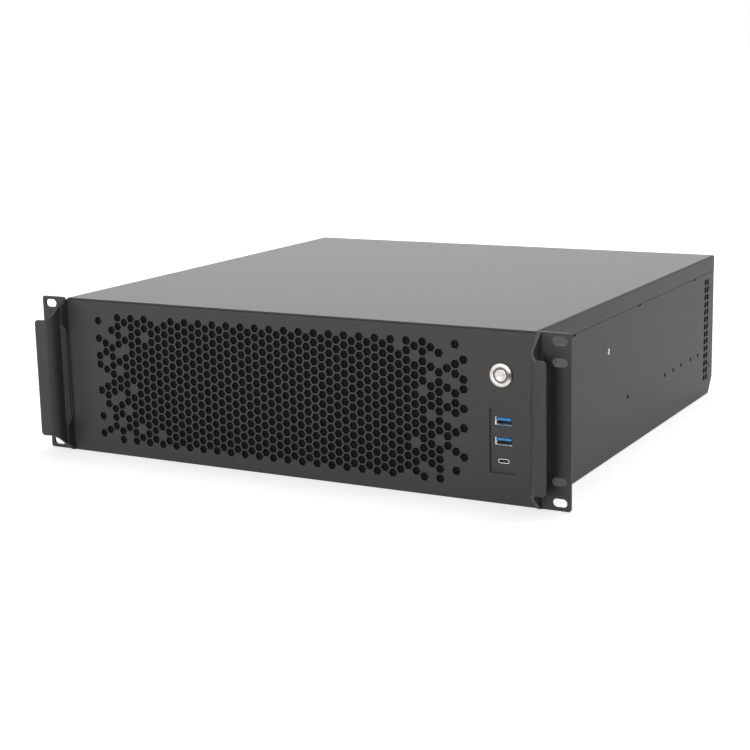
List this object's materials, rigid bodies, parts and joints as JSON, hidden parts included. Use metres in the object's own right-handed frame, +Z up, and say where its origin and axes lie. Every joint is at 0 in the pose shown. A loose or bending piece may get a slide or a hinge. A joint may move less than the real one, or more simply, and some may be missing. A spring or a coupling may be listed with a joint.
{
  "type": "rackmount workstation",
  "caption": "Rackmount computer case with perforated front, folded steel handles, front power button and ports, lid, fans, board, power supply and drive inside.",
  "frame": {"origin": "middle of the bottom, on the rear face of the rack ears, where they meet the rack's rails", "axes": "+X to the right seen from the front, +Y from the front towards the rear, +Z up"},
  "size_m": [0.4826, 0.4603, 0.1325],
  "materials": {
    "case_black": "fine-textured black powder coat",
    "filter_mesh": "black nylon mesh",
    "fan_plastic": "moulded black",
    "button_steel": "turned stainless steel",
    "button_ring": "smoked light ring",
    "black_plastic": "moulded black",
    "blue_plastic": "moulded blue",
    "plated_steel": "nickel or zinc plated",
    "circuit_board": "solder mask on glass fibre",
    "brass": "turned brass",
    "aluminium": "extruded or cast, satin",
    "psu_black": "black paint"
  },
  "bodies": {
    "chassis": {"handle_left": "case_black", "handle_right": "case_black", "front_panel": "case_black", "chassis_base": "case_black", "top_cover": "case_black", "rear_panel": "case_black", "dust_filter": "filter_mesh", "fan_bracket": "case_black", "fan_frame_left": "fan_plastic", "fan_frame_middle": "fan_plastic", "fan_frame_right": "fan_plastic", "button_bezel": "button_steel", "button_ring": "button_ring", "button_switch": "black_plastic", "button_nut": "plated_steel", "port_plate": "case_black", "usb_a_shells": "plated_steel", "usb_a_tongues": "blue_plastic", "usb_c_shell": "plated_steel", "usb_c_tongue": "black_plastic", "port_board": "circuit_board", "port_spacers": "plated_steel", "main_board": "circuit_board", "board_standoffs": "brass", "processor_socket": "plated_steel", "cooler_heatsink": "aluminium", "cooler_fan_frame": "fan_plastic", "memory_slots": "black_plastic", "memory_modules": "circuit_board", "expansion_sockets": "black_plastic", "graphics_board": "circuit_board", "graphics_housing": "black_plastic", "graphics_bracket": "plated_steel", "slot_covers": "case_black", "io_shield": "plated_steel", "rear_ports": "plated_steel", "psu_housing": "psu_black", "psu_inlet": "black_plastic", "psu_rocker_pivot": "plated_steel", "storage_drive": "aluminium", "drive_bracket": "plated_steel", "cover_screws": "plated_steel", "rail_inserts": "plated_steel"},
    "power_button": {"button_cap": "button_steel"},
    "fan_left": {"fan_rotor_left": "fan_plastic"},
    "fan_middle": {"fan_rotor_middle": "fan_plastic"},
    "fan_right": {"fan_rotor_right": "fan_plastic"},
    "cooler_fan": {"cooler_fan_rotor": "fan_plastic"},
    "psu_rocker": {"psu_rocker": "black_plastic"}
  },
  "joints": [
    {"name": "power_button_press", "type": "slide", "parent": "chassis", "child": "power_button", "axis": [0, 1, 0], "range_m": [0, 0.0015], "stiffness_N_per_m": 1500, "springref_m": -0.0005},
    {"name": "fan_left_spin", "type": "hinge", "parent": "chassis", "child": "fan_left", "pos_m": [-0.1337, 0.0162, 0.06625], "axis": [0, 1, 0], "continuous": true},
    {"name": "fan_middle_spin", "type": "hinge", "parent": "chassis", "child": "fan_middle", "pos_m": [-0.0137, 0.0162, 0.06625], "axis": [0, 1, 0], "continuous": true},
    {"name": "fan_right_spin", "type": "hinge", "parent": "chassis", "child": "fan_right", "pos_m": [0.1063, 0.0162, 0.06625], "axis": [0, 1, 0], "continuous": true},
    {"name": "cooler_fan_spin", "type": "hinge", "parent": "chassis", "child": "cooler_fan", "pos_m": [-0.01738, 0.3231, 0.075], "axis": [0, 0, 1], "continuous": true},
    {"name": "psu_rocker_tilt", "type": "hinge", "parent": "chassis", "child": "psu_rocker", "pos_m": [0.09, 0.4131, 0.0327], "axis": [1, 0, 0], "range_deg": [-8, 8]}
  ]
}
